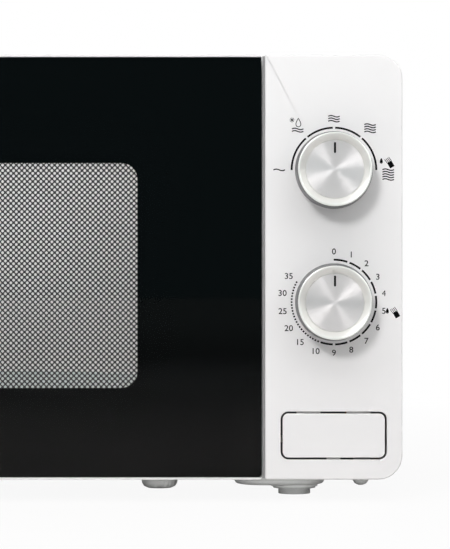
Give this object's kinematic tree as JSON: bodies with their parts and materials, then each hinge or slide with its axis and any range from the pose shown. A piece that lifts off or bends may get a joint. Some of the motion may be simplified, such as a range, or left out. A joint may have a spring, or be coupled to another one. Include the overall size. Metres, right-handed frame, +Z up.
{
  "type": "microwave oven",
  "caption": "Countertop microwave oven with a side-hung black glass door, perforated window, two rotary controls and a push-to-open button.",
  "frame": {"origin": "on the surface the feet stand on, under the middle of the overall box", "axes": "+X to the right seen from the front, towards the controls; -Y out of the front; +Z up"},
  "size_m": [0.44, 0.354, 0.2595],
  "materials": {
    "case_paint": "smooth powder coat",
    "enamel": "satin oven enamel",
    "galvanised": "zinc coated sheet",
    "screen_paint": "satin dark coat",
    "front_glass": "polished, printed black behind",
    "clear_glass": "clear tempered",
    "film": "clear",
    "white_moulding": "fine satin",
    "black_moulding": "fine texture",
    "knob_silver": "satin metal coat",
    "spun_disc": "spun, circular grain",
    "shaft_steel": "turned",
    "nylon": "natural moulded",
    "grey_plastic": "moulded",
    "white_plastic": "moulded",
    "red_plastic": "moulded",
    "foot_rubber": "matte",
    "mica": "pressed sheet",
    "lamp_ceramic": "unglazed",
    "bulb_glass": "clear",
    "copper": "drawn",
    "ferrite": "pressed",
    "core_iron": "varnished laminations",
    "coil_wire": "enamelled wire",
    "bare_aluminium": "mill",
    "circuit_board": "solder resist"
  },
  "bodies": {
    "root": {"cabinet": "case_paint", "rear_panel": "galvanised", "base_plate": "galvanised", "feet": "foot_rubber", "case_screws": "shaft_steel", "cord_gland": "black_moulding", "cavity": "enamel", "front_flange": "enamel", "waveguide": "galvanised", "waveguide_cover": "mica", "lamp_holder": "lamp_ceramic", "lamp_bulb": "bulb_glass", "turntable_motor": "galvanised", "upper_hinge": "galvanised", "lower_hinge": "galvanised", "control_panel": "white_moulding", "power_selector": "grey_plastic", "timer_body": "grey_plastic", "timer_bell": "shaft_steel", "button_spring": "shaft_steel", "latch_board": "white_plastic", "primary_switch": "grey_plastic", "secondary_switch": "white_plastic", "monitor_switch": "red_plastic", "magnetron_frame": "galvanised", "magnetron_fins": "bare_aluminium", "magnetron_magnets": "ferrite", "magnetron_core": "copper", "thermostat": "black_moulding", "transformer_core": "core_iron", "transformer_coils": "coil_wire", "capacitor": "bare_aluminium", "capacitor_clamp": "galvanised", "hv_diode": "black_moulding", "fan_duct": "grey_plastic", "fan_motor": "core_iron", "filter_board": "circuit_board"},
    "door": {"door_frame": "white_moulding", "door_glass": "front_glass", "door_plate": "screen_paint", "window_film": "film", "choke_cover": "black_moulding", "latch_spring": "shaft_steel"},
    "latch": {"latch_hooks": "nylon"},
    "button": {"release_button": "white_moulding"},
    "slider": {"release_slider": "nylon"},
    "power_dial": {"power_knob": "knob_silver", "power_knob_disc": "spun_disc", "power_shaft": "shaft_steel"},
    "timer_dial": {"timer_knob": "knob_silver", "timer_knob_disc": "spun_disc", "timer_shaft": "shaft_steel"},
    "turntable": {"drive_coupler": "nylon", "glass_turntable": "clear_glass"},
    "ring": {"roller_ring": "nylon"},
    "wheel_1": {"roller_1": "nylon"},
    "wheel_2": {"roller_2": "nylon"},
    "wheel_3": {"roller_3": "nylon"},
    "fan": {"fan_blade": "nylon"}
  },
  "joints": [
    {"name": "door_hinge", "type": "hinge", "parent": "root", "child": "door", "pos_m": [-0.21, -0.1395, 0.1365], "axis": [0, 0, -1], "range_deg": [0, 100]},
    {"name": "latch_lift", "type": "slide", "parent": "door", "child": "latch", "axis": [0, 0, 1], "range_m": [0, 0.0045], "stiffness_N_per_m": 20, "springref_m": -0.02, "deforming": ["latch_spring"]},
    {"name": "door_button", "type": "hinge", "parent": "root", "child": "button", "pos_m": [0.18025, -0.152, 0.05235], "axis": [1, 0, 0], "range_deg": [0, 7], "stiffness_Nm_per_rad": 0.3, "springref_deg": -8.59, "deforming": ["button_spring"]},
    {"name": "slider_lift", "type": "slide", "parent": "root", "child": "slider", "axis": [0, 0, 1], "range_m": [0, 0.0045]},
    {"name": "power_turn", "type": "hinge", "parent": "root", "child": "power_dial", "pos_m": [0.18025, -0.157, 0.1927], "axis": [0, 1, 0], "range_deg": [-90, 90]},
    {"name": "timer_turn", "type": "hinge", "parent": "root", "child": "timer_dial", "pos_m": [0.18025, -0.157, 0.1163], "axis": [0, 1, 0], "range_deg": [0, 300]},
    {"name": "turntable_spin", "type": "hinge", "parent": "root", "child": "turntable", "pos_m": [-0.04075, 0.018, 0.036], "axis": [0, 0, 1], "continuous": true},
    {"name": "ring_spin", "type": "hinge", "parent": "root", "child": "ring", "pos_m": [-0.04075, 0.018, 0.0428], "axis": [0, 0, 1], "continuous": true},
    {"name": "wheel_1_spin", "type": "hinge", "parent": "ring", "child": "wheel_1", "pos_m": [-0.04075, 0.118, 0.0428], "axis": [0, 1, 0], "continuous": true},
    {"name": "wheel_2_spin", "type": "hinge", "parent": "ring", "child": "wheel_2", "pos_m": [-0.12735, -0.032, 0.0428], "axis": [-0.866, -0.5, 0], "continuous": true},
    {"name": "wheel_3_spin", "type": "hinge", "parent": "ring", "child": "wheel_3", "pos_m": [0.04585, -0.032, 0.0428], "axis": [0.866, -0.5, 0], "continuous": true},
    {"name": "fan_spin", "type": "hinge", "parent": "root", "child": "fan", "pos_m": [0.1655, 0.139, 0.15], "axis": [0, 1, 0], "continuous": true}
  ],
  "couplings": [
    {"joint": "latch_lift", "follows": "door_button", "m_per_rad": 0.03681},
    {"joint": "slider_lift", "follows": "door_button", "m_per_rad": 0.03681},
    {"joint": "ring_spin", "follows": "turntable_spin", "ratio": 0.5},
    {"joint": "wheel_1_spin", "follows": "turntable_spin", "ratio": -6.25},
    {"joint": "wheel_2_spin", "follows": "turntable_spin", "ratio": -6.25},
    {"joint": "wheel_3_spin", "follows": "turntable_spin", "ratio": -6.25}
  ]
}
